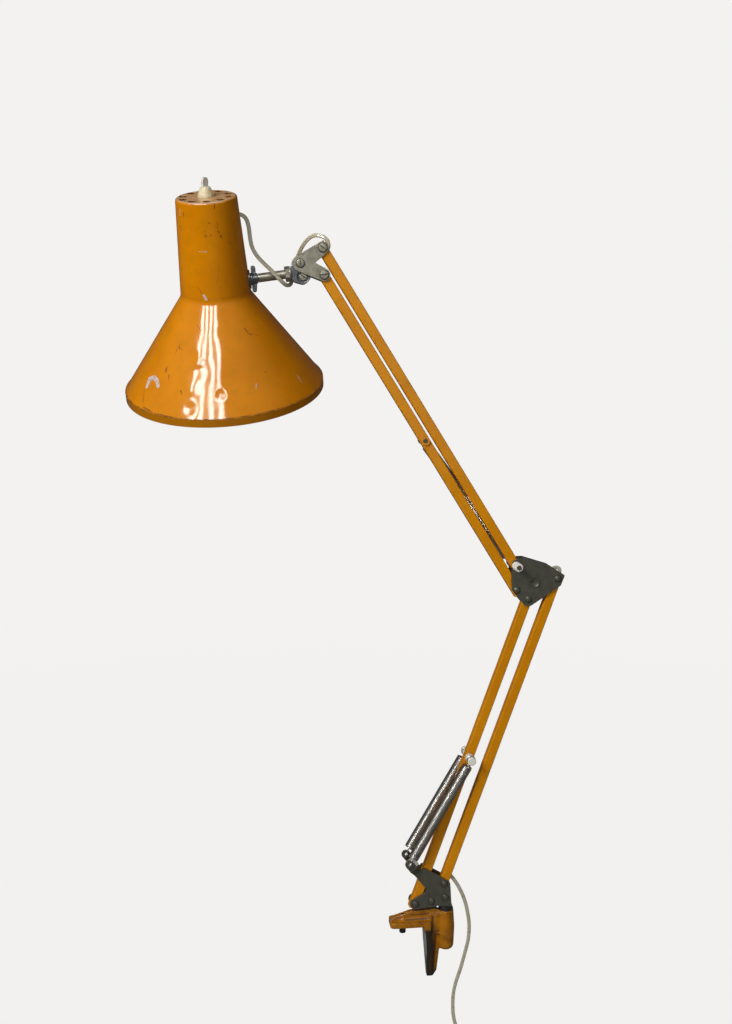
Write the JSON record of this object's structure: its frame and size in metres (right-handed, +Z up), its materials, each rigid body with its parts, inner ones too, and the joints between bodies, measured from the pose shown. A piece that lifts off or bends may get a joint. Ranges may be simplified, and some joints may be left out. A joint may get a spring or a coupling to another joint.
{
  "type": "clamp-on spring balanced desk lamp",
  "caption": "Clamp-on desk lamp: parallelogram arms balanced by tension springs, swivelling base, pivoting cone shade with a switch on top.",
  "frame": {"origin": "centre of the rubber foot's lower face, where the clamp stands on the table top", "axes": "+Z up; +X from the foot to the swivel post; the arms lie in the X-Z plane at rest, -Y is the lamp's front"},
  "size_m": [0.4114, 0.1753, 0.9839],
  "materials": {
    "cast_paint": "orange enamel on cast iron, worn bare on the edges",
    "black_rubber": "matt",
    "post_steel": "blackened",
    "dark_steel": "dark tarnished plate",
    "spring_steel": "dull drawn wire",
    "bright_steel": "dull nickel plate",
    "knuckle_zinc": "blued",
    "tube_paint": "semi gloss orange enamel",
    "shade_paint": "semi gloss orange enamel",
    "nylon": "natural",
    "flex_sheath": "aged beige sheath",
    "tie_plastic": "matt",
    "cream_plastic": "aged cream",
    "plated_brass": "plated",
    "black_bakelite": "gloss",
    "bulb_opal": "opal"
  },
  "bodies": {
    "clamp": {"clamp_bracket": "cast_paint", "rubber_foot": "black_rubber"},
    "base_swivel": {"swivel_post": "post_steel", "base_plate_near": "dark_steel", "base_plate_far": "dark_steel", "base_post_rivets": "dark_steel", "base_pivot_rivets": "dark_steel", "lead": "flex_sheath", "lead_coil": "flex_sheath", "lead_tie": "tie_plastic", "plug_body": "cream_plastic", "plug_pins": "plated_brass"},
    "lower_springs": {"lower_spring_near": "spring_steel", "lower_spring_far": "spring_steel"},
    "front_bar": {"front_bar": "tube_paint", "front_spring_pin": "dark_steel", "front_pin_bushes": "nylon"},
    "rear_bar": {"rear_bar": "tube_paint", "cord_rear_bar": "flex_sheath"},
    "elbow": {"elbow_plate_near": "dark_steel", "elbow_plate_far": "dark_steel", "elbow_spacer": "dark_steel", "elbow_low_rivet": "dark_steel", "elbow_front_rivet": "dark_steel", "elbow_rear_studs": "dark_steel", "elbow_spring_studs": "dark_steel", "elbow_bushes": "nylon", "cord_elbow": "flex_sheath"},
    "upper_spring": {"upper_spring": "spring_steel"},
    "top_bar": {"top_bar": "tube_paint", "cord_top_bar": "flex_sheath"},
    "bottom_bar": {"bottom_bar": "tube_paint", "upper_spring_pin": "dark_steel", "upper_pin_collar": "tube_paint", "upper_pin_bush": "nylon"},
    "head_bracket": {"head_plate_near": "bright_steel", "head_plate_far": "bright_steel", "head_top_screws": "bright_steel", "head_low_screw": "bright_steel", "knuckle_screw": "bright_steel", "knuckle_nut": "bright_steel"},
    "knuckle": {"knuckle": "knuckle_zinc", "pinch_screw": "bright_steel", "shade_shaft": "bright_steel", "lock_washer": "bright_steel", "lock_nut": "bright_steel", "shaft_end_nut": "bright_steel"},
    "wing_nut": {"wing_nut": "bright_steel"},
    "shade": {"shade_neck": "shade_paint", "shade_flare": "shade_paint", "neck_washer": "dark_steel", "switch_ferrule": "cream_plastic", "lampholder_cap": "black_bakelite", "lampholder_skirt": "black_bakelite", "screw_shell": "plated_brass", "centre_contact": "plated_brass", "bulb_cap": "plated_brass", "bulb_glass": "bulb_opal", "cord_head": "flex_sheath"},
    "switch": {"switch_key": "nylon"}
  },
  "joints": [
    {"name": "base_swivel", "type": "hinge", "parent": "clamp", "child": "base_swivel", "pos_m": [0.043, 0, 0.0222], "axis": [0, 0, 1], "range_deg": [-100, 100]},
    {"name": "lower_arm_tilt", "type": "hinge", "parent": "base_swivel", "child": "rear_bar", "pos_m": [0.04037, 0, 0.05044], "axis": [0, -1, 0], "range_deg": [-15, 60], "deforming": ["lead", "cord_elbow"]},
    {"name": "lower_springs_follow", "type": "hinge", "parent": "base_swivel", "child": "lower_springs", "pos_m": [0.0048, 0, 0.075], "axis": [0, -1, 0], "range_deg": [-21, 82], "deforming": ["lower_spring_near", "lower_spring_far"]},
    {"name": "front_bar_follow", "type": "hinge", "parent": "base_swivel", "child": "front_bar", "pos_m": [0.0118, 0, 0.0311], "axis": [0, -1, 0], "range_deg": [-15, 60]},
    {"name": "elbow_level", "type": "hinge", "parent": "rear_bar", "child": "elbow", "pos_m": [0.14798, 0, 0.35181], "axis": [0, -1, 0], "range_deg": [-60, 15], "deforming": ["cord_elbow"]},
    {"name": "upper_arm_tilt", "type": "hinge", "parent": "elbow", "child": "top_bar", "pos_m": [0.10676, 0, 0.36524], "axis": [0, -1, 0], "range_deg": [-5, 85], "deforming": ["cord_elbow", "cord_head"]},
    {"name": "upper_spring_follow", "type": "hinge", "parent": "elbow", "child": "upper_spring", "pos_m": [0.10676, 0, 0.36524], "axis": [0, -1, 0], "range_deg": [-6, 89], "deforming": ["upper_spring"]},
    {"name": "bottom_bar_follow", "type": "hinge", "parent": "elbow", "child": "bottom_bar", "pos_m": [0.10791, 0, 0.34136], "axis": [0, -1, 0], "range_deg": [-5, 85]},
    {"name": "head_level", "type": "hinge", "parent": "top_bar", "child": "head_bracket", "pos_m": [-0.07608, 0, 0.65898], "axis": [0, -1, 0], "range_deg": [-85, 5], "deforming": ["cord_head"]},
    {"name": "head_tilt", "type": "hinge", "parent": "head_bracket", "child": "knuckle", "pos_m": [-0.09633, 0, 0.64511], "axis": [0, -1, 0], "range_deg": [-55, 15], "deforming": ["cord_head"]},
    {"name": "shade_turn", "type": "hinge", "parent": "knuckle", "child": "shade", "pos_m": [-0.17266, 0, 0.62653], "axis": [0.9898, 0, 0.1426], "range_deg": [-110, 70], "deforming": ["cord_head"]},
    {"name": "wing_nut_turn", "type": "hinge", "parent": "knuckle", "child": "wing_nut", "pos_m": [-0.13505, 0, 0.63195], "axis": [0.9898, 0, 0.1426], "continuous": true},
    {"name": "switch_turn", "type": "hinge", "parent": "shade", "child": "switch", "pos_m": [-0.17939, -0.02923, 0.70671], "axis": [-0.0786, -0.3415, 0.9366], "continuous": true}
  ],
  "couplings": [
    {"joint": "front_bar_follow", "follows": "lower_arm_tilt", "ratio": 1},
    {"joint": "lower_springs_follow", "follows": "lower_arm_tilt", "ratio": 1.35},
    {"joint": "upper_spring_follow", "follows": "upper_arm_tilt", "ratio": 1.045},
    {"joint": "elbow_level", "follows": "lower_arm_tilt", "ratio": -1},
    {"joint": "bottom_bar_follow", "follows": "upper_arm_tilt", "ratio": 1},
    {"joint": "head_level", "follows": "upper_arm_tilt", "ratio": -1}
  ]
}
